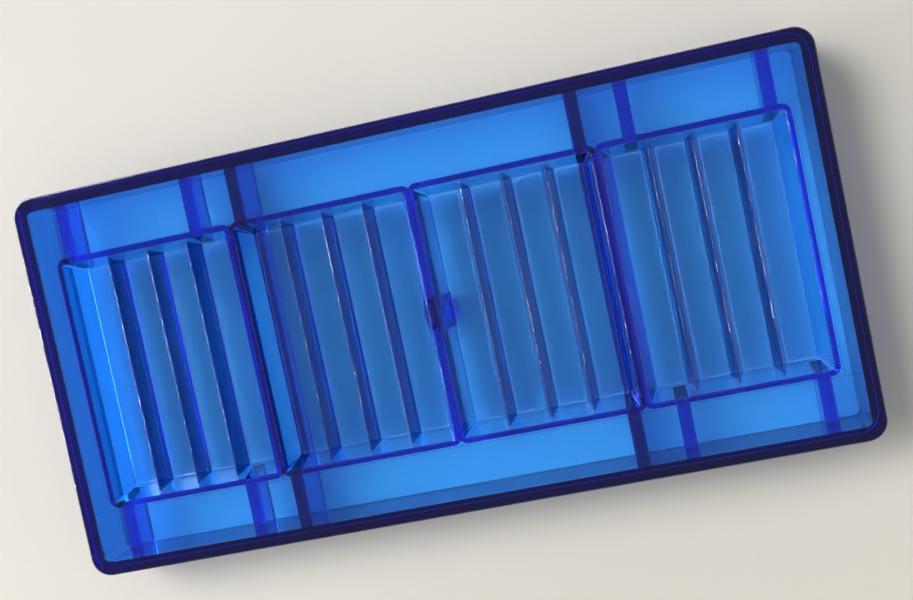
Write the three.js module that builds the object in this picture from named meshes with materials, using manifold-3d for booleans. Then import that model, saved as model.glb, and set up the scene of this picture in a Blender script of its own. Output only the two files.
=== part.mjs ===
// Rigid four-bar snap-bar mould, one injection moulding split into its moulded features.
// Millimetres, +X along the mould, +Y across it, +Z up. The skirt stands on z = 0 and the rim is
// at z = height. "Depth" below always means the distance down from the rim.
import * as THREE from 'three';
import { mergeVertices } from 'three/addons/utils/BufferGeometryUtils.js';
import Module from 'manifold-3d';

const wasm = await Module();
wasm.setup();

// ---- driving dimensions --------------------------------------------------------------------
const length = 275;             // outside of the skirt, along X
const width = 135;              // outside of the skirt, along Y
const height = 24;              // rim to the table
const skirtWall = 4.8;
const skirtRadius = 6.8;        // outer vertical corners
const skirtInnerRadius = 2.2;   // inner vertical corners
const deckThickness = 2.5;

const barCount = 4;             // cavities in a row along X
const endMargin = 13;           // outside of the mould to the first cavity's mouth, along X
const sideMargin = 25;          // outside of the mould to a cavity's mouth, along Y
const separatorLand = 3;        // flat between two cavities' mouths
const cavityDepth = 14.5;
const sideDraft = 12;           // degrees, cavity walls that face along X
const endDraft = 10.5;          // degrees, cavity walls that face along Y
const mouthRadius = 0.8;        // inner vertical corners of a cavity
const floorBevel = 0.9;         // between the walls and the floor
const cavityWall = 2.5;
const cavityFloor = 2.5;
const cavityRadius = 3;         // outer vertical corners of a cavity, under the deck

const ridgesPerBar = 3;
const ridgeDepth = 4.2;         // crest below the rim
const ridgeLand = 0.56;         // flat on the crest
const ridgeFoot = 3.7;          // ridge width where its bevel starts

const ribThickness = 4.4;
const deepRibInset = 4.5;       // from the outermost separator towards the middle
const innerRibOffset = 11.85;   // from the outermost separator towards the end
const outerRibInset = 3.9;      // from the last mouth towards the middle
const shortRibDepth = 14.3;

const gateDiameter = 12;
const gateClearance = 2;        // gate boss to the table

const jointGap = 0.3;           // between features that touch in the moulding
const arcSteps = 6;             // facets in a quarter turn

// ---- derived sizes -------------------------------------------------------------------------
const run = (degrees, drop) => Math.tan(THREE.MathUtils.degToRad(degrees)) * drop;
const acrossWall = (degrees) => cavityWall / Math.cos(THREE.MathUtils.degToRad(degrees));
const barPitch = (length - 2 * endMargin + separatorLand) / barCount;
const halfPitch = barPitch / 2;
const halfMouthX = halfPitch - separatorLand / 2;
const halfMouthY = width / 2 - sideMargin;
const bevelDepth = cavityDepth - floorBevel;
const trayDepth = cavityDepth + cavityFloor;
const trayEndX = halfMouthX + acrossWall(sideDraft);
const trayEndY = halfMouthY + acrossWall(endDraft);
const blockEndX = halfPitch * (barCount - 1) + trayEndX;
const skirtInsideX = length / 2 - skirtWall;
const skirtInsideY = width / 2 - skirtWall;
const barCentres = Array.from({ length: barCount }, (_, i) => (i - (barCount - 1) / 2) * barPitch);
const floorLength = 2 * (halfMouthX - run(sideDraft, bevelDepth) - floorBevel);
const ridgePitch = (floorLength + ridgeFoot + 2 * floorBevel) / (ridgesPerBar + 1);
const lastSeparator = halfPitch * (barCount - 2);
const deepRibAt = lastSeparator - deepRibInset;
const shortRibAt = {
  inner: lastSeparator + innerRibOffset,
  outer: lastSeparator + barPitch - separatorLand / 2 - outerRibInset,
};

// ---- solids --------------------------------------------------------------------------------
function toManifold(geometry) {
  const bare = geometry.clone();
  bare.deleteAttribute('normal');
  bare.deleteAttribute('uv');
  const merged = mergeVertices(bare, 1e-4);
  return new wasm.Manifold(new wasm.Mesh({
    numProp: 3,
    vertProperties: Float32Array.from(merged.attributes.position.array),
    triVerts: Uint32Array.from(merged.index.array),
  }));
}

function toGeometry(solid) {
  const mesh = solid.getMesh();
  const geometry = new THREE.BufferGeometry();
  geometry.setAttribute('position', new THREE.BufferAttribute(mesh.vertProperties, 3));
  geometry.setIndex(new THREE.BufferAttribute(mesh.triVerts, 1));
  geometry.computeVertexNormals();
  return geometry;
}

const outline = (points) => new THREE.Shape(points.map(([u, v]) => new THREE.Vector2(u, v)));

function extrude(shape, depth) {
  return new THREE.ExtrudeGeometry(shape, { depth, bevelEnabled: false, curveSegments: arcSteps });
}

// A plan outline (x, y) standing between two depths below the rim.
function upright(shape, topDepth, bottomDepth) {
  return extrude(shape, bottomDepth - topDepth).translate(0, 0, height - bottomDepth);
}

// A section (x, depth) carried along Y, centred on y = 0.
function alongY(points, span) {
  const section = outline(points.map(([x, depth]) => [x, height - depth]));
  return extrude(section, span).translate(0, 0, -span / 2).rotateX(Math.PI / 2);
}

// A section (y, depth) carried along X, centred on x = 0.
function alongX(points, span) {
  const section = outline(points.map(([y, depth]) => [y, height - depth]));
  const turn = new THREE.Matrix4().makeBasis(
    new THREE.Vector3(0, 1, 0), new THREE.Vector3(0, 0, 1), new THREE.Vector3(1, 0, 0));
  return extrude(section, span).translate(0, 0, -span / 2).applyMatrix4(turn);
}

function rectangle(x0, y0, x1, y1) {
  return outline([[x0, y0], [x1, y0], [x1, y1], [x0, y1]]);
}

function roundedRectangle(x0, y0, x1, y1, radius) {
  const shape = new THREE.Shape();
  shape.absarc(x1 - radius, y0 + radius, radius, -Math.PI / 2, 0);
  shape.absarc(x1 - radius, y1 - radius, radius, 0, Math.PI / 2);
  shape.absarc(x0 + radius, y1 - radius, radius, Math.PI / 2, Math.PI);
  shape.absarc(x0 + radius, y0 + radius, radius, Math.PI, 1.5 * Math.PI);
  shape.closePath();
  return shape;
}

// Where two sections crossed at right angles meet.
function crossed(sectionXZ, sectionYZ) {
  const reach = 2 * Math.max(length, width);
  return toManifold(alongY(sectionXZ, reach)).intersect(toManifold(alongX(sectionYZ, reach)));
}

// ---- skirt ---------------------------------------------------------------------------------
// The two end walls carry the rounded corners, and the long walls run between them.
function skirtEnd() {
  const ring = roundedRectangle(-length / 2, -width / 2, length / 2, width / 2, skirtRadius);
  ring.holes.push(
    roundedRectangle(-skirtInsideX, -skirtInsideY, skirtInsideX, skirtInsideY, skirtInnerRadius));
  const corner = -length / 2 + Math.max(skirtRadius, skirtWall + skirtInnerRadius);
  const keep = rectangle(-length, -width, corner, width);
  return toGeometry(toManifold(upright(ring, 0, height))
    .intersect(toManifold(upright(keep, -1, height + 1))));
}

function skirtSide() {
  const half = length / 2 - Math.max(skirtRadius, skirtWall + skirtInnerRadius) - jointGap;
  return upright(rectangle(-half, -width / 2, half, -skirtInsideY), 0, height);
}

// ---- deck ----------------------------------------------------------------------------------
// A frame of four plates round the block of cavities, flush with the rim.
function deckSide() {
  const ends = skirtInsideX - jointGap;
  const plate = roundedRectangle(-ends, -skirtInsideY + jointGap, ends, skirtInsideY,
    skirtInnerRadius);
  const keep = rectangle(-length, -width, length, -trayEndY - jointGap);
  return toGeometry(toManifold(upright(plate, 0, deckThickness))
    .intersect(toManifold(upright(keep, -1, deckThickness + 1))));
}

function deckEnd() {
  return upright(
    rectangle(-skirtInsideX + jointGap, -trayEndY, -blockEndX - jointGap, trayEndY),
    0, deckThickness);
}

// ---- cavities ------------------------------------------------------------------------------
// Leans an upright solid's sides inwards with depth, by the two drafts.
function drafted(geometry) {
  const place = geometry.attributes.position;
  for (let i = 0; i < place.count; i += 1) {
    const depth = height - place.getZ(i);
    place.setX(i, place.getX(i) - Math.sign(place.getX(i)) * run(sideDraft, depth));
    place.setY(i, place.getY(i) - Math.sign(place.getY(i)) * run(endDraft, depth));
  }
  return toManifold(geometry);
}

function centred(halfX, halfY, radius) {
  return roundedRectangle(-halfX, -halfY, halfX, halfY, radius);
}

// Inside of a cavity: drafted walls down to a bevel, then the flat floor.
function cavityInside() {
  const above = 1;
  const bevelled = (halfMouth, draft) => {
    const foot = halfMouth - run(draft, bevelDepth);
    const clear = 2 * run(draft, cavityDepth);
    return [[foot + clear, -2 * above], [foot + clear, bevelDepth - clear],
      [foot - floorBevel, cavityDepth], [-foot + floorBevel, cavityDepth],
      [-foot - clear, bevelDepth - clear], [-foot - clear, -2 * above]];
  };
  return drafted(upright(centred(halfMouthX, halfMouthY, mouthRadius), -above, cavityDepth + above))
    .intersect(crossed(bevelled(halfMouthX, sideDraft), bevelled(halfMouthY, endDraft)));
}

// A cavity beside another shares its wall's place, so it stops at the middle of the separator.
function barCavity(openLeft, openRight) {
  const separator = halfPitch - jointGap / 2;
  const left = openLeft ? -trayEndX : -separator;
  const right = openRight ? trayEndX : separator;
  const shell = drafted(upright(centred(trayEndX, trayEndY, cavityRadius), 0, trayDepth));
  const keep = toManifold(upright(rectangle(left, -width, right, width), -1, trayDepth + 1));
  const flange = toManifold(
    upright(rectangle(left, -trayEndY, right, trayEndY), 0, deckThickness));
  return toGeometry(shell.intersect(keep).add(flange).subtract(cavityInside()));
}

// A ridge across a cavity. Its foot stands on the floor and its ends on the sloping walls.
function snapRidge() {
  const foot = ridgeFoot / 2;
  const base = cavityDepth - jointGap;
  const flare = foot + floorBevel - jointGap;
  const section = [[-flare, base], [flare, base], [foot, bevelDepth], [ridgeLand / 2, ridgeDepth],
    [-ridgeLand / 2, ridgeDepth], [-foot, bevelDepth]];
  const top = halfMouthY - run(endDraft, ridgeDepth) - jointGap;
  const heel = halfMouthY - run(endDraft, bevelDepth) - jointGap;
  const ends = [[top, ridgeDepth], [-top, ridgeDepth], [-heel, bevelDepth],
    [-heel + floorBevel, cavityDepth], [heel - floorBevel, cavityDepth], [heel, bevelDepth]];
  return toGeometry(crossed(section, ends));
}

// ---- ribs under the deck -------------------------------------------------------------------
// Face of a rib that lies along the outside of the cavities, at one depth.
const besideTray = (depth) => trayEndY - run(endDraft, depth) + jointGap;
const ribTop = deckThickness + jointGap;
const ribEnd = skirtInsideY - jointGap;

function shortRib() {
  return alongX([[-ribEnd, ribTop], [-besideTray(ribTop), ribTop],
    [-besideTray(shortRibDepth), shortRibDepth], [-ribEnd, shortRibDepth]], ribThickness);
}

// A deep rib passes under the cavities and stands on the table with the skirt.
function deepRib() {
  const under = trayDepth + jointGap;
  return alongX([[-ribEnd, height], [-ribEnd, ribTop], [-besideTray(ribTop), ribTop],
    [-besideTray(under), under], [besideTray(under), under], [besideTray(ribTop), ribTop],
    [ribEnd, ribTop], [ribEnd, height]], ribThickness);
}

// ---- gate ----------------------------------------------------------------------------------
// A round boss where the plastic was injected. It fills the groove between the middle cavities
// and stands out below them.
function gateBoss() {
  const apex = (trayEndX - halfPitch) / run(sideDraft, 1) + jointGap / run(sideDraft, 1);
  const spread = run(sideDraft, trayDepth - apex);
  const wedge = [[0, apex], [-spread, trayDepth], [-spread, trayDepth + jointGap],
    [-gateDiameter, trayDepth + jointGap], [-gateDiameter, height], [gateDiameter, height],
    [gateDiameter, trayDepth + jointGap], [spread, trayDepth + jointGap], [spread, trayDepth]];
  const barrel = new THREE.CylinderGeometry(gateDiameter / 2, gateDiameter / 2,
    height - gateClearance - deckThickness, 4 * arcSteps);
  barrel.rotateX(Math.PI / 2).translate(0, 0, (height - deckThickness + gateClearance) / 2);
  return toGeometry(toManifold(barrel).intersect(toManifold(alongY(wedge, 2 * gateDiameter))));
}

// ---- assembly ------------------------------------------------------------------------------
const group = new THREE.Group();

function add(name, geometry, colour, place = {}) {
  const material = new THREE.MeshStandardMaterial({ color: colour, roughness: 0.12, metalness: 0 });
  const mesh = new THREE.Mesh(geometry, material);
  mesh.name = name;
  mesh.position.set(place.x ?? 0, place.y ?? 0, 0);
  mesh.rotation.z = place.turn ?? 0;
  group.add(mesh);
}

const clearBlue = 0x2a6fd6;
const deepBlue = 0x14249a;
const edgeBlue = 0x20206e;

add('skirt_end_left', skirtEnd(), edgeBlue);
add('skirt_end_right', skirtEnd(), edgeBlue, { turn: Math.PI });
add('skirt_side_front', skirtSide(), edgeBlue);
add('skirt_side_back', skirtSide(), edgeBlue, { turn: Math.PI });

add('deck_front', deckSide(), clearBlue);
add('deck_back', deckSide(), clearBlue, { turn: Math.PI });
add('deck_left', deckEnd(), clearBlue);
add('deck_right', deckEnd(), clearBlue, { turn: Math.PI });

barCentres.forEach((x, bar) => {
  const number = bar + 1;
  add(`bar_cavity_${number}`, barCavity(bar === 0, number === barCount), clearBlue, { x });
  for (let ridge = 1; ridge <= ridgesPerBar; ridge += 1) {
    const offset = (ridge - (ridgesPerBar + 1) / 2) * ridgePitch;
    add(`snap_ridge_${number}_${ridge}`, snapRidge(), deepBlue, { x: x + offset });
  }
});

for (const [side, sign] of [['left', -1], ['right', 1]]) {
  for (const [place, at] of Object.entries(shortRibAt)) {
    add(`short_rib_${side}_${place}_front`, shortRib(), deepBlue, { x: sign * at });
    add(`short_rib_${side}_${place}_back`, shortRib(), deepBlue, { x: sign * at, turn: Math.PI });
  }
  add(`deep_rib_${side}`, deepRib(), deepBlue, { x: sign * deepRibAt });
}

add('gate_boss', gateBoss(), deepBlue);

export default group;
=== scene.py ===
"""Snap bar mould in clear blue plastic: the visual model, its table, its light and its camera."""

import logging
import math
from collections.abc import Callable, Iterable, Sequence
from dataclasses import dataclass, field
from enum import Enum

import bpy
from bpy.types import Material, Node, NodeSocket, NodeTree, Object
from mathutils import Matrix, Vector


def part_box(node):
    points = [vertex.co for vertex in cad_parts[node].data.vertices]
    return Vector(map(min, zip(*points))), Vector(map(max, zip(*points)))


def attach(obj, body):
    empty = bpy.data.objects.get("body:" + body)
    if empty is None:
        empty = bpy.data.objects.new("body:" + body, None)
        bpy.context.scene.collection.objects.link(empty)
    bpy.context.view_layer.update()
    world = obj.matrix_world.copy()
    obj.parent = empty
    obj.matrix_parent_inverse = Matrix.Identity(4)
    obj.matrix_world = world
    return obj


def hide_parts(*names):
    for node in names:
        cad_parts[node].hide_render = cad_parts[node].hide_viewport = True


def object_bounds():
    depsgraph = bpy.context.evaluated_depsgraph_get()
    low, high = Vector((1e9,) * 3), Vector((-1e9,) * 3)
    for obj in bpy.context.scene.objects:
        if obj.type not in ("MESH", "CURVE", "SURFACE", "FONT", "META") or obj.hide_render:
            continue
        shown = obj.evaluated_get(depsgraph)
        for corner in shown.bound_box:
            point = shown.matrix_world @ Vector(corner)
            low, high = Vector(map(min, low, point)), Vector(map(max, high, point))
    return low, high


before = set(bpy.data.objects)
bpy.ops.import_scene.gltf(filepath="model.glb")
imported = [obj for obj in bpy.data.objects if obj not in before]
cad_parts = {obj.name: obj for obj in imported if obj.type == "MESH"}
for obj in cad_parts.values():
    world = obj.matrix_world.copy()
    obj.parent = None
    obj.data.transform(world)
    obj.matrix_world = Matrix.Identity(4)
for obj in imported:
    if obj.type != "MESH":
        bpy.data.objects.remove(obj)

CAD_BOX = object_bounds()
MM = 0.001
HAIRLINE = 0.02 * MM  # how closely points are compared
LAP = 0.03 * MM  # how far neighbouring features of the one moulding run into each other

logging.basicConfig(level=logging.INFO, format="%(name)s: %(message)s")
LOG = logging.getLogger("bar_mould")

Span = tuple[float, float]
EdgeTest = Callable[[Vector, Vector], bool]


class Side(Enum):
    """Which half of the mould a piece is on, along X or along Y."""

    LOW = -1
    HIGH = 1

    def word(self, low: str, high: str) -> str:
        """Picks the node's word for this side.

        Args:
            low: the word for the low side.
            high: the word for the high side.

        Returns:
            The word.
        """
        return low if self is Side.LOW else high


# ---- bench tools -----------------------------------------------------------------------------


@dataclass(frozen=True)
class Level:
    """One rectangular outline of a piece at one height, in metres."""

    x: Span
    y: Span
    z: float

    @property
    def centre(self) -> Vector:
        """Returns the outline's middle."""
        return Vector((sum(self.x) / 2, sum(self.y) / 2, self.z))

    @property
    def size(self) -> tuple[float, float]:
        """Returns the outline's length along X and along Y."""
        return self.x[1] - self.x[0], self.y[1] - self.y[0]


class Bench:
    """The hand tools that every sub-assembly is modelled with."""

    MERGED = 0.002 * MM  # points closer than this become one
    FLAT = math.radians(0.05)  # faces that turn less than this become one
    SMOOTH = math.radians(34)  # edges sharper than this stay crisp
    FLATS_FIRST = 100  # how much a large face leads the shading of its edges

    @staticmethod
    def only(piece: Object) -> None:
        """Makes one object the active and only selected one.

        Args:
            piece: the object to work on.
        """
        bpy.ops.object.select_all(action="DESELECT")
        piece.select_set(True)
        bpy.context.view_layer.objects.active = piece

    @staticmethod
    def loft(name: str, levels: Sequence[Level]) -> Object:
        """Raises a solid through rectangular outlines, from the first to the last.

        Args:
            name: the new object's name.
            levels: at least two outlines, in order of height.

        Returns:
            A closed mesh object, its faces pointing out.
        """
        bpy.ops.object.select_all(action="DESELECT")
        first = levels[0]
        bpy.ops.mesh.primitive_plane_add(size=1.0, location=first.centre)
        piece = bpy.context.object
        piece.scale = (*first.size, 1.0)
        piece.name = piece.data.name = name
        bpy.ops.object.transform_apply(location=True, rotation=True, scale=True)
        bpy.ops.object.mode_set(mode="EDIT")
        bpy.ops.mesh.select_mode(type="FACE")
        bpy.ops.mesh.select_all(action="SELECT")
        for below, above in zip(levels, levels[1:]):
            bpy.ops.mesh.extrude_region_move(
                TRANSFORM_OT_translate={"value": above.centre - below.centre}
            )
            bpy.ops.transform.resize(
                value=(above.size[0] / below.size[0], above.size[1] / below.size[1], 1.0),
                center_override=above.centre,
            )
        bpy.ops.mesh.select_all(action="SELECT")
        bpy.ops.mesh.normals_make_consistent(inside=False)
        bpy.ops.object.mode_set(mode="OBJECT")
        return piece

    @staticmethod
    def upright(least: float) -> EdgeTest:
        """Makes a test for upright edges.

        Args:
            least: the height that an edge has to rise by.

        Returns:
            The test.
        """
        return lambda a, b: abs(a.z - b.z) > least

    @staticmethod
    def at_foot(z: float) -> EdgeTest:
        """Makes a test for the edges that lie along a foot.

        Args:
            z: the height of the foot.

        Returns:
            The test.
        """
        return lambda a, b: max(a.z, b.z) < z + HAIRLINE

    @staticmethod
    def at_top(z: float) -> EdgeTest:
        """Makes a test for the edges that lie along a top.

        Args:
            z: the height of the top.

        Returns:
            The test.
        """
        return lambda a, b: min(a.z, b.z) > z - HAIRLINE

    @staticmethod
    def round_edges(piece: Object, radius: float, segments: int, test: EdgeTest) -> None:
        """Rounds the edges that pass a test on their two ends.

        Args:
            piece: the object to change.
            radius: how far the rounding reaches from each edge.
            segments: facets across the rounding.
            test: takes an edge's two end points and says whether it is rounded.
        """
        Bench.only(piece)
        mesh = piece.data
        for group in (mesh.vertices, mesh.edges, mesh.polygons):
            group.foreach_set("select", [False] * len(group))
        points = [v.co for v in mesh.vertices]
        for edge in mesh.edges:
            edge.select = test(*(points[end] for end in edge.vertices))
        bpy.context.tool_settings.mesh_select_mode = (False, True, False)
        bpy.ops.object.mode_set(mode="EDIT")
        bpy.ops.mesh.bevel(offset=radius, segments=segments, affect="EDGES", clamp_overlap=True)
        bpy.ops.object.mode_set(mode="OBJECT")

    @staticmethod
    def slice(piece: Object, at: Vector, away: Vector) -> None:
        """Cuts a solid by a plane and closes the cut.

        Args:
            piece: the object to cut.
            at: a point on the plane.
            away: the plane's normal, towards the side that is thrown away.
        """
        Bench.only(piece)
        bpy.ops.object.mode_set(mode="EDIT")
        bpy.ops.mesh.select_mode(type="FACE")
        bpy.ops.mesh.select_all(action="SELECT")
        bpy.ops.mesh.bisect(plane_co=at, plane_no=away, use_fill=True, clear_outer=True)
        bpy.ops.object.mode_set(mode="OBJECT")

    @staticmethod
    def combine(piece: Object, others: Iterable[Object], operation: str) -> None:
        """Cuts, joins or intersects a solid with others, and uses those up.

        Args:
            piece: the object that is kept.
            others: the solids to combine with it. They are removed.
            operation: DIFFERENCE, UNION or INTERSECT.
        """
        Bench.only(piece)
        for other in list(others):
            cut = piece.modifiers.new("combine", "BOOLEAN")
            cut.operation, cut.solver, cut.object = operation, "EXACT", other
            bpy.ops.object.modifier_apply(modifier=cut.name)
            bpy.data.objects.remove(other)

    @staticmethod
    def copy(piece: Object, name: str, shift: Vector | None = None) -> Object:
        """Copies a piece with a mesh of its own.

        Args:
            piece: the object to copy.
            name: the copy's name.
            shift: how far the copy is moved.

        Returns:
            The copy.
        """
        Bench.only(piece)
        bpy.ops.object.duplicate(linked=False)
        twin = bpy.context.object
        twin.name = twin.data.name = name
        if shift is not None:
            twin.data.transform(Matrix.Translation(shift))
        return twin

    @staticmethod
    def tidy(piece: Object) -> None:
        """Merges doubles, points the faces out and shades roundings smooth and flats flat.

        Args:
            piece: the object to finish.
        """
        Bench.only(piece)
        bpy.ops.object.mode_set(mode="EDIT")
        bpy.ops.mesh.select_mode(type="VERT")
        bpy.ops.mesh.select_all(action="SELECT")
        bpy.ops.mesh.remove_doubles(threshold=Bench.MERGED)
        bpy.ops.mesh.dissolve_limited(angle_limit=Bench.FLAT)
        bpy.ops.mesh.normals_make_consistent(inside=False)
        bpy.ops.object.mode_set(mode="OBJECT")
        bpy.ops.object.shade_smooth_by_angle(angle=Bench.SMOOTH)
        flats = piece.modifiers.new("flats", "WEIGHTED_NORMAL")
        flats.mode, flats.weight, flats.keep_sharp = "FACE_AREA", Bench.FLATS_FIRST, True
        bpy.ops.object.modifier_apply(modifier=flats.name)


# ---- sizes -----------------------------------------------------------------------------------


@dataclass
class MouldSizes:
    """The sizes that the sub-assemblies share, in metres. Places come from the CAD nodes' boxes."""

    side_draft: float = math.radians(12.0)
    end_draft: float = math.radians(10.5)
    wall: float = 2.5 * MM
    mouth_radius: float = 0.8 * MM
    floor_fillet: float = 0.9 * MM
    shell_radius: float = 3.0 * MM
    mouth_steps: int = 3
    floor_steps: int = 4
    shell_steps: int = 5
    bars: int = 4
    rim: float = field(init=False)
    deck_under: float = field(init=False)
    skirt_in: Vector = field(init=False)
    outside: Vector = field(init=False)
    shell_half: Vector = field(init=False)
    floor: float = field(init=False)
    under: float = field(init=False)
    centres: list[float] = field(init=False)
    separators: list[float] = field(init=False)

    def __post_init__(self) -> None:
        """Reads the places from the CAD nodes."""
        low, high = (Vector(p) for p in CAD_BOX)
        self.outside, self.rim = high, high.z
        self.deck_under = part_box("deck_front")[0].z
        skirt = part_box("skirt_side_front")
        wall = skirt[1].y - skirt[0].y
        self.skirt_in = Vector((high.x - wall, high.y - wall))
        trays = [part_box(f"bar_cavity_{n + 1}") for n in range(self.bars)]
        inner = [(a[1].x + b[0].x) / 2 for a, b in zip(trays, trays[1:])]
        pitch = inner[1] - inner[0]
        self.separators = [inner[0] - pitch, *inner, inner[-1] + pitch]
        self.centres = [(a + b) / 2 for a, b in zip(self.separators, self.separators[1:])]
        self.shell_half = Vector((trays[-1][1].x - self.centres[-1], trays[0][1].y))
        self.under = trays[0][0].z
        self.floor = self.under + self.wall

    def lean(self, z: float) -> Vector:
        """Works out how far the walls have leaned in at a height.

        Args:
            z: the height.

        Returns:
            The lean along X and along Y.
        """
        drop = self.rim - z
        return Vector((math.tan(self.side_draft) * drop, math.tan(self.end_draft) * drop))

    @property
    def mouth_half(self) -> Vector:
        """Returns half a cavity's mouth along X and Y."""
        return Vector(
            (
                self.shell_half.x - self.wall / math.cos(self.side_draft),
                self.shell_half.y - self.wall / math.cos(self.end_draft),
            )
        )

    def around(self, centre: float, half: Vector, z: float, grow: float = 0.0) -> Level:
        """Returns a leaning outline about one cavity's middle.

        Args:
            centre: the cavity's place along X.
            half: half the outline at the rim.
            z: the outline's height.
            grow: how far the outline is let out all round.

        Returns:
            The outline at that height.
        """
        x, y = half - self.lean(z) + Vector((grow, grow))
        return Level((centre - x, centre + x), (-y, y), z)

    def shell(self, bar: int, grow: float = 0.0, name: str = "shell") -> Object:
        """Builds the leaning, round-cornered outside of one cavity, as a solid.

        Args:
            bar: the cavity's number, from 0.
            grow: how far it is let out all round, when it is used to cut a neighbour.
            name: the object's name.

        Returns:
            The solid.
        """
        levels = [
            self.around(self.centres[bar], self.shell_half, z, grow)
            for z in (self.under - grow, self.rim + grow)
        ]
        solid = Bench.loft(name, levels)
        Bench.round_edges(solid, self.shell_radius, self.shell_steps, Bench.upright(self.wall))
        return solid

    def hollow(self, bar: int, grow: float = 0.0, name: str = "hollow") -> Object:
        """Builds the inside of one cavity as a solid, up past the rim.

        Args:
            bar: the cavity's number, from 0.
            grow: how far it is let out all round.
            name: the object's name.

        Returns:
            The solid.
        """
        floor = self.floor - grow
        levels = [
            self.around(self.centres[bar], self.mouth_half, z, grow)
            for z in (floor, self.rim + self.wall)
        ]
        solid = Bench.loft(name, levels)
        Bench.round_edges(solid, self.mouth_radius, self.mouth_steps, Bench.upright(self.wall))
        Bench.round_edges(solid, self.floor_fillet, self.floor_steps, Bench.at_foot(floor))
        return solid


# ---- finishes --------------------------------------------------------------------------------


@dataclass(frozen=True)
class Noise:
    """One noise on a surface: cycles per metre, octaves and how much each axis counts."""

    scale: float
    detail: float = 1.0
    stretch: tuple[float, float, float] = (1.0, 1.0, 1.0)


class HandlingMarks:
    """A node group of the flow, wipe marks and specks that are left on a polished face."""

    NAME = "handling_marks"
    INPUTS = {"Polish": 0.02, "Wipe Haze": 0.05, "Speck Haze": 0.2, "Flow": 1.0}
    WIPES = Noise(38.0, detail=4.0, stretch=(1.0, 0.35, 1.0))
    WIPED = (0.52, 0.78)
    SPECKS = Noise(900.0)
    SPECKED = (0.71, 0.76)
    WAVES = Noise(24.0, stretch=(0.6, 1.0, 1.0))

    @classmethod
    def tree(cls) -> NodeTree:
        """Builds the group, or returns it if it is already there.

        Returns:
            The node group, with outputs Haze (a roughness) and Relief (a height).
        """
        known = bpy.data.node_groups.get(cls.NAME)
        if known is not None:
            return known
        tree = bpy.data.node_groups.new(cls.NAME, "ShaderNodeTree")
        for name, value in cls.INPUTS.items():
            socket = tree.interface.new_socket(name, in_out="INPUT", socket_type="NodeSocketFloat")
            socket.default_value = value
        for name in ("Haze", "Relief"):
            tree.interface.new_socket(name, in_out="OUTPUT", socket_type="NodeSocketFloat")
        tree_in = tree.nodes.new("NodeGroupInput")
        tree_out = tree.nodes.new("NodeGroupOutput")
        place = tree.nodes.new("ShaderNodeTexCoord").outputs["Object"]
        wipe = cls.noise(tree, place, cls.WIPES)
        speck = cls.noise(tree, place, cls.SPECKS)
        flow = cls.noise(tree, place, cls.WAVES)
        wipe_mask = cls.ramp(tree, wipe, *cls.WIPED)
        speck_mask = cls.ramp(tree, speck, *cls.SPECKED)
        hazed = cls.maths(tree, "MULTIPLY_ADD", wipe_mask, tree_in.outputs["Wipe Haze"])
        tree.links.new(tree_in.outputs["Polish"], hazed.inputs[2])
        specked = cls.maths(tree, "MULTIPLY_ADD", speck_mask, tree_in.outputs["Speck Haze"])
        tree.links.new(hazed.outputs[0], specked.inputs[2])
        relief = cls.maths(tree, "MULTIPLY", flow, tree_in.outputs["Flow"])
        tree.links.new(specked.outputs[0], tree_out.inputs["Haze"])
        tree.links.new(relief.outputs[0], tree_out.inputs["Relief"])
        return tree

    @staticmethod
    def noise(tree: NodeTree, place: NodeSocket, noise: Noise) -> NodeSocket:
        """Adds a stretched noise.

        Args:
            tree: the tree to add it to.
            place: the coordinates it reads.
            noise: its sizes.

        Returns:
            Its value.
        """
        mapping = tree.nodes.new("ShaderNodeMapping")
        mapping.inputs["Scale"].default_value = noise.stretch
        texture = tree.nodes.new("ShaderNodeTexNoise")
        texture.inputs["Scale"].default_value = noise.scale
        texture.inputs["Detail"].default_value = noise.detail
        tree.links.new(place, mapping.inputs["Vector"])
        tree.links.new(mapping.outputs["Vector"], texture.inputs["Vector"])
        return texture.outputs["Fac"]

    @staticmethod
    def ramp(tree: NodeTree, value: NodeSocket, low: float, high: float) -> NodeSocket:
        """Adds a smooth step.

        Args:
            tree: the tree to add it to.
            value: what it reads.
            low: where it leaves 0.
            high: where it reaches 1.

        Returns:
            The stepped value.
        """
        step = tree.nodes.new("ShaderNodeMapRange")
        step.interpolation_type = "SMOOTHSTEP"
        step.inputs["From Min"].default_value = low
        step.inputs["From Max"].default_value = high
        tree.links.new(value, step.inputs["Value"])
        return step.outputs["Result"]

    @staticmethod
    def maths(tree: NodeTree, operation: str, a: NodeSocket, b: NodeSocket) -> Node:
        """Adds a Math node fed by two sockets.

        Args:
            tree: the tree to add it to.
            operation: the node's operation.
            a: its first value.
            b: its second value.

        Returns:
            The node.
        """
        node = tree.nodes.new("ShaderNodeMath")
        node.operation = operation
        tree.links.new(a, node.inputs[0])
        tree.links.new(b, node.inputs[1])
        return node


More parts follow.
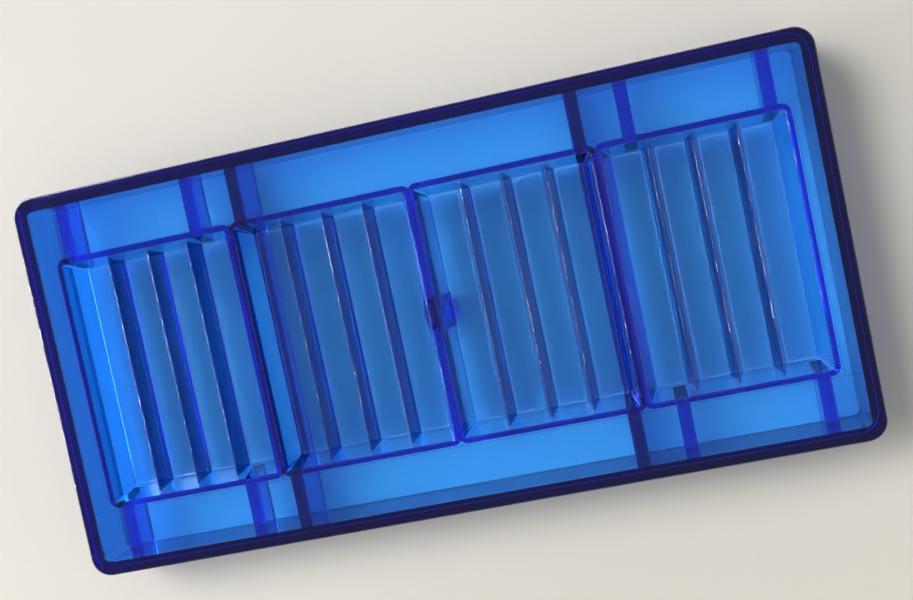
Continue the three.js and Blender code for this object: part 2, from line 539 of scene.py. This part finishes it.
@dataclass(frozen=True)
class ClearBlue:
    """The mould's transparent blue plastic, with the polish of one kind of face; some copies also
    take off more light per metre, which paints shade.
    """

    name: str
    polish: float = 0.02
    wipe_haze: float = 0.03
    speck_haze: float = 0.15
    flow: float = 0.35
    bump_strength: float = 0.1
    bump_height: float = 0.5 * MM
    index: float = 1.586
    tint: tuple[float, float, float] = (0.94, 0.97, 1.0)
    taken: tuple[float, float, float] = (550.0, 172.0, 22.0)  # light taken off per metre

    def make(self) -> Material:
        """Builds the material.

        Returns:
            The new material.
        """
        material = bpy.data.materials.new(self.name)
        material.use_nodes = True
        tree = material.node_tree
        tree.nodes.clear()
        out = tree.nodes.new("ShaderNodeOutputMaterial")
        shader = tree.nodes.new("ShaderNodeBsdfPrincipled")
        shader.inputs["Base Color"].default_value = (*self.tint, 1.0)
        shader.inputs["Metallic"].default_value = 0.0
        shader.inputs["IOR"].default_value = self.index
        shader.inputs["Transmission Weight"].default_value = 1.0
        marks = tree.nodes.new("ShaderNodeGroup")
        marks.node_tree = HandlingMarks.tree()
        marks.inputs["Polish"].default_value = self.polish
        marks.inputs["Wipe Haze"].default_value = self.wipe_haze
        marks.inputs["Speck Haze"].default_value = self.speck_haze
        marks.inputs["Flow"].default_value = self.flow
        bump = tree.nodes.new("ShaderNodeBump")
        bump.inputs["Strength"].default_value = self.bump_strength
        bump.inputs["Distance"].default_value = self.bump_height
        tree.links.new(marks.outputs["Relief"], bump.inputs["Height"])
        tree.links.new(bump.outputs["Normal"], shader.inputs["Normal"])
        tree.links.new(marks.outputs["Haze"], shader.inputs["Roughness"])
        body = tree.nodes.new("ShaderNodeVolumeAbsorption")
        density = max(self.taken)
        body.inputs["Color"].default_value = (*[1.0 - t / density for t in self.taken], 1.0)
        body.inputs["Density"].default_value = density
        tree.links.new(shader.outputs["BSDF"], out.inputs["Surface"])
        tree.links.new(body.outputs["Volume"], out.inputs["Volume"])
        return material


@dataclass(frozen=True)
class PaleTable:
    """The matt, warm table that the mould lies on, with painted shade that darkens it towards one
    corner.
    """

    colour: tuple[float, float, float] = (0.258, 0.249, 0.229)
    shade: tuple[float, float, float] = (0.251, 0.242, 0.223)
    # painted shade: the darker colour mixed in towards one corner, standing in for light that falls
    # off there
    painted_shade: tuple[float, float, float] = (0.236, 0.227, 0.206)
    painted_shade_towards: tuple[float, float, float] = (0.75, -0.65, 0.0)
    painted_shade_between: tuple[float, float] = (-0.05, 0.12)
    clouds: Noise = Noise(9.0, detail=3.0)
    clouded: tuple[float, float] = (0.3, 0.6)
    roughness: float = 0.75

    def make(self) -> Material:
        """Builds the material.

        Returns:
            The new material.
        """
        material = bpy.data.materials.new("pale_table")
        material.use_nodes = True
        tree = material.node_tree
        shader = tree.nodes["Principled BSDF"]
        place = tree.nodes.new("ShaderNodeTexCoord").outputs["Object"]
        cloud = HandlingMarks.noise(tree, place, self.clouds)
        mix = tree.nodes.new("ShaderNodeMix")
        mix.data_type = "RGBA"
        mix.inputs["A"].default_value = (*self.shade, 1.0)
        mix.inputs["B"].default_value = (*self.colour, 1.0)
        tree.links.new(HandlingMarks.ramp(tree, cloud, *self.clouded), mix.inputs["Factor"])
        reach = tree.nodes.new("ShaderNodeVectorMath")
        reach.operation = "DOT_PRODUCT"
        reach.inputs[1].default_value = self.painted_shade_towards
        tree.links.new(place, reach.inputs[0])
        # mixes in the painted shade, by how far a point lies towards the darker corner
        painted_shade_mix = tree.nodes.new("ShaderNodeMix")
        painted_shade_mix.data_type = "RGBA"
        painted_shade_mix.inputs["B"].default_value = (*self.painted_shade, 1.0)
        tree.links.new(mix.outputs["Result"], painted_shade_mix.inputs["A"])
        mask = HandlingMarks.ramp(tree, reach.outputs["Value"], *self.painted_shade_between)
        tree.links.new(mask, painted_shade_mix.inputs["Factor"])
        tree.links.new(painted_shade_mix.outputs["Result"], shader.inputs["Base Color"])
        shader.inputs["Roughness"].default_value = self.roughness
        return material


@dataclass(frozen=True)
class LightPoolCard:
    """A matt, bright card under the mould: painted light, a lighter patch that stands in for the
    light reaching the table through the plastic.
    """

    # painted light: the card's near-white colour brightens the table under the mould
    colour: tuple[float, float, float] = (0.95, 0.965, 0.98)
    roughness: float = 0.9
    sheen: float = 0.1

    def make(self) -> Material:
        """Builds the material.

        Returns:
            The new material.
        """
        material = bpy.data.materials.new("light_pool_card_material")
        material.use_nodes = True
        shader = material.node_tree.nodes["Principled BSDF"]
        shader.inputs["Base Color"].default_value = (*self.colour, 1.0)
        shader.inputs["Roughness"].default_value = self.roughness
        shader.inputs["Specular IOR Level"].default_value = self.sheen
        return material


# ---- sub-assemblies --------------------------------------------------------------------------


class SubAssembly:
    """Pieces that are dressed and handed over in the same way, in place of their CAD nodes."""

    def hand_over(self, piece: Object, node: str, finish: Material) -> None:
        """Finishes a piece, gives it its material and lets it stand for its CAD node.

        Args:
            piece: the modelled piece.
            node: the CAD node it replaces.
            finish: its material.
        """
        Bench.tidy(piece)
        piece.data.materials.clear()
        piece.data.materials.append(finish)
        piece.name = piece.data.name = f"{node}_clear"
        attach(piece, "root")
        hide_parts(node)
        LOG.info("%s: %d faces", piece.name, len(piece.data.polygons))


@dataclass
class Skirt(SubAssembly):
    """The wall round the outside, in two long sides and two round-cornered ends."""

    sizes: MouldSizes
    finish: Material
    outer_radius: float = 6.8 * MM
    inner_radius: float = 2.2 * MM
    rim_round: float = 0.45 * MM
    foot_round: float = 0.3 * MM
    outer_steps: int = 10
    inner_steps: int = 6
    rim_steps: int = 3
    foot_steps: int = 2

    def build(self) -> None:
        """Models and dresses the four walls."""
        for side in Side:
            self.end(side)
            self.long_side(side)

    def ring(self) -> Object:
        """Builds the whole wall as one hollow solid.

        Returns:
            The ring, from which the ends are cut.
        """
        s = self.sizes
        x, y = s.outside.x, s.outside.y
        solid = Bench.loft("ring", [Level((-x, x), (-y, y), z) for z in (0.0, s.rim)])
        upright = Bench.upright(s.wall)
        Bench.round_edges(solid, self.outer_radius, self.outer_steps, upright)
        Bench.round_edges(solid, self.rim_round, self.rim_steps, Bench.at_top(s.rim))
        Bench.round_edges(solid, self.foot_round, self.foot_steps, Bench.at_foot(0.0))
        x, y = s.skirt_in
        core = Bench.loft(
            "core", [Level((-x, x), (-y, y), z) for z in (-s.wall, s.rim + s.wall)]
        )
        Bench.round_edges(core, self.inner_radius, self.inner_steps, upright)
        Bench.combine(solid, [core], "DIFFERENCE")
        return solid

    def joint(self) -> float:
        """Returns how far from the middle the long walls meet the ends."""
        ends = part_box("skirt_end_right")[0].x
        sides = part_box("skirt_side_front")[1].x
        return (ends + sides) / 2

    def end(self, side: Side) -> None:
        """Models one end wall with its two rounded corners.

        Args:
            side: the end, along X.
        """
        piece = self.ring()
        out = Vector((side.value, 0.0, 0.0))
        Bench.slice(piece, out * (self.joint() - LAP / 2), -out)
        self.hand_over(piece, f"skirt_end_{side.word('left', 'right')}", self.finish)

    def long_side(self, side: Side) -> None:
        """Models one long wall.

        Args:
            side: the side, along Y.
        """
        piece = self.ring()
        for out in (Vector((1.0, 0.0, 0.0)), Vector((-1.0, 0.0, 0.0))):
            Bench.slice(piece, out * (self.joint() + LAP / 2), out)
        across = Vector((0.0, side.value, 0.0))
        Bench.slice(piece, Vector((0.0, 0.0, 0.0)), -across)
        self.hand_over(piece, f"skirt_side_{side.word('front', 'back')}", self.finish)


@dataclass
class Deck(SubAssembly):
    """The flat plates between the skirt and the block of cavities, flush with the rim."""

    sizes: MouldSizes
    finish: Material
    corner_radius: float = 2.2 * MM
    corner_steps: int = 6

    def build(self) -> None:
        """Models and dresses the four plates."""
        for side in Side:
            self.long_plate(side)
            self.end_plate(side)

    def long_plate(self, side: Side) -> None:
        """Models the plate along one long side.

        Args:
            side: the side, along Y.
        """
        s = self.sizes
        x = s.skirt_in.x + LAP
        y = sorted((side.value * (s.shell_half.y - LAP), side.value * (s.skirt_in.y + LAP)))
        piece = Bench.loft("plate", [Level((-x, x), tuple(y), z) for z in (s.deck_under, s.rim)])
        Bench.round_edges(
            piece,
            self.corner_radius,
            self.corner_steps,
            lambda a, b: abs(a.z - b.z) > HAIRLINE and abs(a.y) > s.skirt_in.y - s.wall,
        )
        self.hand_over(piece, f"deck_{side.word('front', 'back')}", self.finish)

    def end_plate(self, side: Side) -> None:
        """Models the narrow plate at one end.

        Args:
            side: the end, along X.
        """
        s = self.sizes
        block = s.centres[-1] + s.shell_half.x - LAP
        x = sorted((side.value * block, side.value * (s.skirt_in.x + LAP)))
        y = s.shell_half.y
        piece = Bench.loft("plate", [Level(tuple(x), (-y, y), z) for z in (s.deck_under, s.rim)])
        self.hand_over(piece, f"deck_{side.word('left', 'right')}", self.finish)


@dataclass
class CavityBlock(SubAssembly):
    """The row of open cavities with their walls and floors."""

    sizes: MouldSizes
    finish: Material
    mouth_round: float = 0.22 * MM
    mouth_steps: int = 3

    def build(self) -> None:
        """Models and dresses each cavity."""
        for bar in range(self.sizes.bars):
            self.cavity(bar)

    def cavity(self, bar: int) -> None:
        """Models one cavity, cut at the middle of each separator that it shares.

        Args:
            bar: the cavity's number, from 0.
        """
        s = self.sizes
        centre, half = s.centres[bar], s.shell_half
        first, last = bar == 0, bar == s.bars - 1
        piece = s.shell(bar, name="cavity")
        low = centre - half.x if first else s.separators[bar] - s.wall
        high = centre + half.x if last else s.separators[bar + 1] + s.wall
        flange = Bench.loft(
            "flange",
            [Level((low, high), (-half.y, half.y), z) for z in (s.deck_under, s.rim)],
        )
        Bench.combine(piece, [flange], "UNION")
        Bench.combine(piece, [s.hollow(bar)], "DIFFERENCE")
        for shared, at, out in (
            (not first, s.separators[bar], -1.0),
            (not last, s.separators[bar + 1], 1.0),
        ):
            if shared:
                away = Vector((out, 0.0, 0.0))
                Bench.slice(piece, Vector((at, 0.0, 0.0)) + away * LAP / 2, away)
        Bench.round_edges(
            piece, self.mouth_round, self.mouth_steps, lambda a, b: self.on_mouth(bar, a, b)
        )
        self.hand_over(piece, f"bar_cavity_{bar + 1}", self.finish)

    def on_mouth(self, bar: int, a: Vector, b: Vector) -> bool:
        """Says whether an edge lies on a cavity's mouth.

        Args:
            bar: the cavity's number, from 0.
            a: one end of the edge.
            b: its other end.

        Returns:
            True if both ends are at the rim and on the mouth's outline.
        """
        s = self.sizes
        half = s.mouth_half + Vector((HAIRLINE, HAIRLINE))
        return all(
            p.z > s.rim - HAIRLINE and abs(p.x - s.centres[bar]) < half.x and abs(p.y) < half.y
            for p in (a, b)
        )


@dataclass
class SnapRidges(SubAssembly):
    """The sharp ridges that divide each cavity into segments."""

    sizes: MouldSizes
    finish: Material
    land: float = 0.5 * MM
    foot: float = 3.7 * MM
    fillet: float = 0.9 * MM
    crest_share: float = 0.45  # of the land, rounded off on each side
    per_bar: int = 3
    fillet_steps: int = 4
    crest_steps: int = 4

    def build(self) -> None:
        """Models one ridge and copies it to its places."""
        s = self.sizes
        master = self.ridge(0)
        start = s.centres[0]
        for bar in range(s.bars):
            for ridge in range(1, self.per_bar + 1):
                node = f"snap_ridge_{bar + 1}_{ridge}"
                low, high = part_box(node)
                shift = Vector(((low.x + high.x) / 2 - start, 0.0, 0.0))
                self.hand_over(Bench.copy(master, node, shift), node, self.finish)
        bpy.data.objects.remove(master)

    def ridge(self, bar: int) -> Object:
        """Models a ridge in the middle of one cavity, trimmed to the cavity's inside.

        Args:
            bar: the cavity's number, from 0.

        Returns:
            The ridge.
        """
        s = self.sizes
        centre, reach = s.centres[bar], s.shell_half.y
        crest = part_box("snap_ridge_1_1")[1].z
        widths = [(s.floor - s.wall / 2, self.foot / 2 + self.fillet)]
        for step in range(self.fillet_steps + 1):
            turn = math.pi / 2 * step / self.fillet_steps
            widths.append(
                (
                    s.floor + self.fillet * (1.0 - math.cos(turn)),
                    self.foot / 2 + self.fillet * (1.0 - math.sin(turn)),
                )
            )
        widths.append((crest, self.land / 2))
        levels = [Level((centre - x, centre + x), (-reach, reach), z) for z, x in widths]
        piece = Bench.loft("ridge", levels)
        on_top = Bench.at_top(crest)
        Bench.round_edges(
            piece,
            self.land * self.crest_share,
            self.crest_steps,
            lambda a, b: on_top(a, b) and a.x == b.x,
        )
        Bench.combine(piece, [s.hollow(bar, LAP)], "INTERSECT")
        return piece


@dataclass
class Ribs(SubAssembly):
    """The stiffening ribs under the deck and the two deep ones that pass under the cavities."""

    sizes: MouldSizes
    finish: Material
    edge_round: float = 0.4 * MM
    edge_steps: int = 2

    def build(self) -> None:
        """Models and dresses each rib."""
        for side in Side:
            for row in ("inner", "outer"):
                for across in Side:
                    self.short_rib(side, row, across)
            self.deep_rib(side)

    def shells(self) -> list[Object]:
        """Returns the cavities' outsides, taken in by the lap, to trim a rib with."""
        return [self.sizes.shell(bar, -LAP) for bar in range(self.sizes.bars)]

    def rib(self, node: str, y: Span) -> None:
        """Models one rib up to the deck and trims it to the cavities.

        Args:
            node: the CAD node it stands for, which gives its place and its foot.
            y: its two ends across the mould.
        """
        s = self.sizes
        low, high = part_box(node)
        levels = [Level((low.x, high.x), y, z) for z in (low.z, s.deck_under + LAP)]
        piece = Bench.loft("rib", levels)
        Bench.round_edges(piece, self.edge_round, self.edge_steps, Bench.at_foot(low.z))
        Bench.combine(piece, self.shells(), "DIFFERENCE")
        self.hand_over(piece, node, self.finish)

    def short_rib(self, side: Side, row: str, across: Side) -> None:
        """Models one short rib, from the skirt to the block.

        Args:
            side: its half of the mould, along X.
            row: inner or outer.
            across: its side, along Y.
        """
        s = self.sizes
        node = f"short_rib_{side.word('left', 'right')}_{row}_{across.word('front', 'back')}"
        near = s.mouth_half.y - s.lean(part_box(node)[0].z).y
        far = s.skirt_in.y + LAP
        self.rib(node, tuple(sorted((across.value * near, across.value * far))))

    def deep_rib(self, side: Side) -> None:
        """Models one rib that stands on the table and passes under the cavities.

        Args:
            side: its half of the mould, along X.
        """
        reach = self.sizes.skirt_in.y + LAP
        self.rib(f"deep_rib_{side.word('left', 'right')}", (-reach, reach))


@dataclass
class Gate(SubAssembly):
    """The round boss under the middle separator."""

    sizes: MouldSizes
    finish: Material
    facets: int = 64
    edge_round: float = 0.5 * MM
    edge_steps: int = 3

    def build(self) -> None:
        """Models and dresses the boss."""
        s = self.sizes
        low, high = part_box("gate_boss")
        top = s.deck_under + LAP
        bpy.ops.object.select_all(action="DESELECT")
        bpy.ops.mesh.primitive_cylinder_add(
            vertices=self.facets,
            radius=(high.x - low.x) / 2,
            depth=top - low.z,
            location=(0.0, 0.0, (top + low.z) / 2),
        )
        piece = bpy.context.object
        bpy.ops.object.transform_apply(location=True, rotation=True, scale=True)
        Bench.round_edges(piece, self.edge_round, self.edge_steps, Bench.at_foot(low.z))
        middle = s.bars // 2
        Bench.combine(
            piece, [s.shell(bar, -LAP) for bar in (middle - 1, middle)], "DIFFERENCE"
        )
        self.hand_over(piece, "gate_boss", self.finish)


# ---- table, light and camera -----------------------------------------------------------------


@dataclass
class Stage:
    """The table, a bright card on it under the mould that paints light there, the light and the
    camera.
    """

    table: Material
    light_pool_card: Material
    table_size: float = 3.0
    air: float = 0.05 * MM
    lens: float = 49.288
    sensor: float = 36.0
    near: float = 0.01
    place: tuple[float, float, float] = (67.79 * MM, 25.71 * MM, 435.03 * MM)
    right: tuple[float, float, float] = (0.97023, -0.20512, -0.12877)
    up: tuple[float, float, float] = (0.19592, 0.9773, -0.08062)
    back: tuple[float, float, float] = (0.14238, 0.05299, 0.98839)
    room: tuple[float, float, float] = (1.0, 0.995, 0.98)
    overhead: tuple[float, float, float] = (-0.12, -0.05, 1.0)
    canopy: tuple[float, float] = (24.0, 34.0)  # degrees from overhead: full, none
    softbox: tuple[float, float, float] = (-0.84, 0.53, 1.0)
    falloff: tuple[float, float] = (10.0, 19.0)  # degrees from the softbox: full, none
    glow: tuple[float, float, float] = (0.26, 1.45, 28.0)  # overhead, room, softbox
    bounces: int = 24
    # the card under the mould is painted light: its brighter white stands in for light that reaches
    # through the plastic
    light_pool_card_size: tuple[float, float] = (266.0 * MM, 126.0 * MM)
    light_pool_card_heights: tuple[float, float] = (-0.04 * MM, -0.02 * MM)
    window_place: tuple[float, float, float] = (-1.4, -0.05, 0.75)
    window_size: tuple[float, float] = (0.35, 0.15)
    window_watts: float = 20.0

    def build(self) -> None:
        """Lays the table, lights it and sets up the camera."""
        self.lay_table()
        self.lay_light_pool_card()
        self.light()
        self.aim()
        self.deepen_paths()

    def deepen_paths(self) -> None:
        """Lets light pass enough walls of clear plastic before it is given up."""
        paths = bpy.context.scene.cycles
        paths.max_bounces = paths.transmission_bounces = paths.glossy_bounces = self.bounces

    def lay_table(self) -> None:
        """Lays the table a hair under the skirt."""
        bpy.ops.object.select_all(action="DESELECT")
        bpy.ops.mesh.primitive_plane_add(size=self.table_size, location=(0.0, 0.0, -self.air))
        table = bpy.context.object
        table.name = "table"
        bpy.ops.object.transform_apply(location=True, rotation=True, scale=True)
        table.data.materials.append(self.table)

    def lay_light_pool_card(self) -> None:
        """Lays a bright card on the table under the mould, inside the skirt's foot, as painted
        light where light comes through the plastic.
        """
        x, y = (side / 2 for side in self.light_pool_card_size)
        light_pool_card = Bench.loft("light_pool_card", [Level((-x, x), (-y, y), z) for z in self.light_pool_card_heights])
        light_pool_card.data.materials.append(self.light_pool_card)

    def light(self) -> None:
        """Lights a room that is darker overhead, from a soft light at one side and a low lamp."""
        world = bpy.data.worlds.new("room")
        world.use_nodes = True
        tree = world.node_tree
        background = tree.nodes["Background"]
        view = tree.nodes.new("ShaderNodeTexCoord").outputs["Generated"]
        top, room, softbox = self.glow
        shaded = self.lobe(tree, view, self.overhead, self.canopy, top - room)
        lit = self.lobe(tree, view, self.softbox, self.falloff, softbox)
        both = HandlingMarks.maths(tree, "ADD", shaded, lit)
        level = tree.nodes.new("ShaderNodeMath")
        level.inputs[1].default_value = room
        tree.links.new(both.outputs[0], level.inputs[0])
        tree.links.new(level.outputs[0], background.inputs["Strength"])
        background.inputs["Color"].default_value = (*self.room, 1.0)
        bpy.context.scene.world = world
        self.lamp("window", self.window_place, self.window_size, self.window_watts)

    @staticmethod
    def lobe(
        tree: NodeTree,
        view: NodeSocket,
        axis: Sequence[float],
        angles: tuple[float, float],
        value: float,
    ) -> NodeSocket:
        """Adds a round, soft-edged patch of the sky.

        Args:
            tree: the world's tree.
            view: the direction looked in.
            axis: the patch's middle.
            angles: how far the patch is full and where it ends, in degrees from its middle.
            value: its value where it is full.

        Returns:
            The value: 0 outside the patch.
        """
        along = tree.nodes.new("ShaderNodeVectorMath")
        along.operation = "DOT_PRODUCT"
        along.inputs[1].default_value = Vector(axis).normalized()
        tree.links.new(view, along.inputs[0])
        full, none = (math.cos(math.radians(angle)) for angle in angles)
        mask = HandlingMarks.ramp(tree, along.outputs["Value"], none, full)
        scaled = tree.nodes.new("ShaderNodeMath")
        scaled.operation = "MULTIPLY"
        scaled.inputs[1].default_value = value
        tree.links.new(mask, scaled.inputs[0])
        return scaled.outputs[0]

    @staticmethod
    def lamp(name: str, at: Sequence[float], size: tuple[float, float], watts: float) -> None:
        """Adds a soft rectangular lamp that faces the mould.

        Args:
            name: the lamp's name.
            at: its place.
            size: its width and its height.
            watts: its power.
        """
        data = bpy.data.lights.new(name, "AREA")
        data.shape, data.energy = "RECTANGLE", watts
        data.size, data.size_y = size
        lamp = bpy.data.objects.new(name, data)
        bpy.context.scene.collection.objects.link(lamp)
        lamp.location = at
        lamp.rotation_euler = Vector(at).to_track_quat("Z", "Y").to_euler()

    def aim(self) -> None:
        """Places the camera."""
        data = bpy.data.cameras.new("camera")
        data.sensor_width, data.lens, data.clip_start = self.sensor, self.lens, self.near
        camera = bpy.data.objects.new("camera", data)
        bpy.context.scene.collection.objects.link(camera)
        turn = Matrix((self.right, self.up, self.back)).transposed()
        camera.matrix_world = Matrix.Translation(self.place) @ turn.to_4x4()
        bpy.context.scene.camera = camera


def main() -> None:
    """Builds each sub-assembly in order."""
    sizes = MouldSizes()
    plates = ClearBlue("clear_blue_plate").make()
    polished = ClearBlue("clear_blue_polished", polish=0.01, wipe_haze=0.015, flow=0.2).make()
    # a rougher moulded copy of the plastic that also takes off more light per metre, painting shade
    # on the skirt, ribs and boss
    moulded_and_shaded = ClearBlue(
        "clear_blue_moulded_painted_shade", polish=0.05, wipe_haze=0.06, flow=0.5, taken=(575.0, 215.0, 29.0)
    ).make()
    # a polished copy of the plastic that takes off much more light per metre, painting shade on the
    # ridges
    polished_painted_shade = ClearBlue(
        "clear_blue_polished_painted_shade", polish=0.01, wipe_haze=0.015, flow=0.2, taken=(575.0, 280.0, 110.0)
    ).make()
    for part in (
        Skirt(sizes, moulded_and_shaded),
        Deck(sizes, plates),
        CavityBlock(sizes, polished),
        SnapRidges(sizes, polished_painted_shade),
        Ribs(sizes, moulded_and_shaded),
        Gate(sizes, moulded_and_shaded),
    ):
        LOG.info("building %s", type(part).__name__)
        part.build()
    Stage(PaleTable().make(), LightPoolCard().make()).build()
    view = bpy.context.scene.view_settings
    view.view_transform, view.look = "Standard", "None"


if __name__ == "__main__":
    main()
